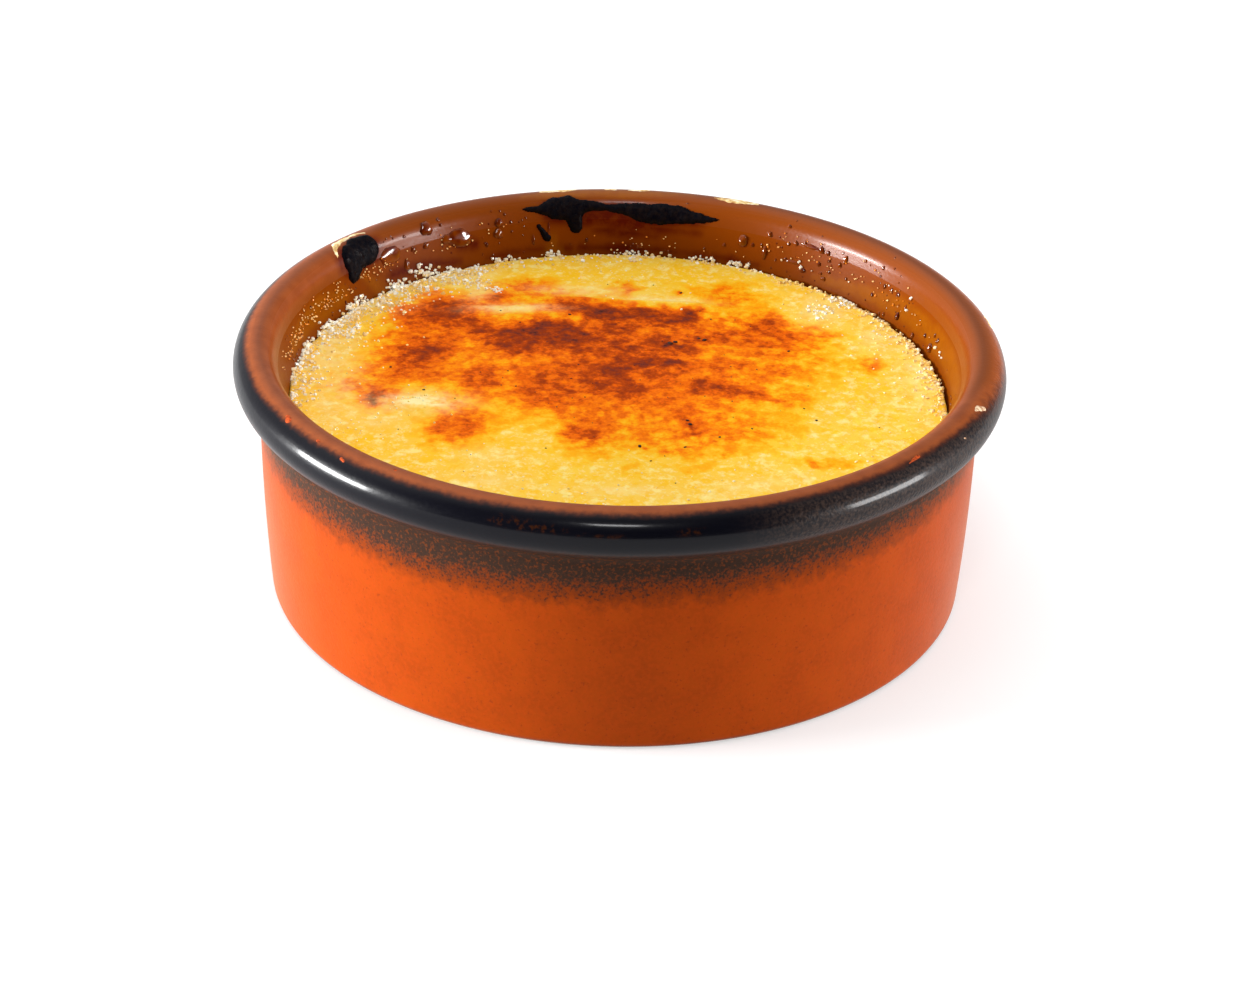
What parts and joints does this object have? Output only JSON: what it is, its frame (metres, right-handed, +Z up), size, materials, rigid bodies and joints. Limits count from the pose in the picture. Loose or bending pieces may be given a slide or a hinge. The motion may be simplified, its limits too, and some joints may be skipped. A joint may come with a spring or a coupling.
{
  "type": "creme brulee",
  "caption": "Round earthenware dish with a rolled, glazed rim, filled with set baked custard whose sugar top is caramelised in patches.",
  "frame": {"origin": "centre of the dish's flat underside, on the surface it stands on", "axes": "+Z up along the axis of the dish; the dish is round, and -Y is the side that the custard's pattern is laid out from"},
  "size_m": [0.12, 0.12, 0.0414],
  "materials": {
    "glazed_earthenware": "clear red-brown glaze over terracotta, turning to glossy black on the outside of the rim",
    "bare_earthenware": "unglazed orange terracotta, satin from handling, flecked with black below the rim",
    "baked_custard": "set pale yellow custard, moist satin, browned orange to dark red in patches",
    "burnt_caramel": "charred black sugar, semi-gloss",
    "sugar": "translucent pale granulated sugar, some grains melted together",
    "syrup": "clear amber droplets of melted sugar, glossy"
  },
  "bodies": {
    "root": {"dish": "glazed_earthenware", "custard": "baked_custard"}
  },
  "joints": []
}
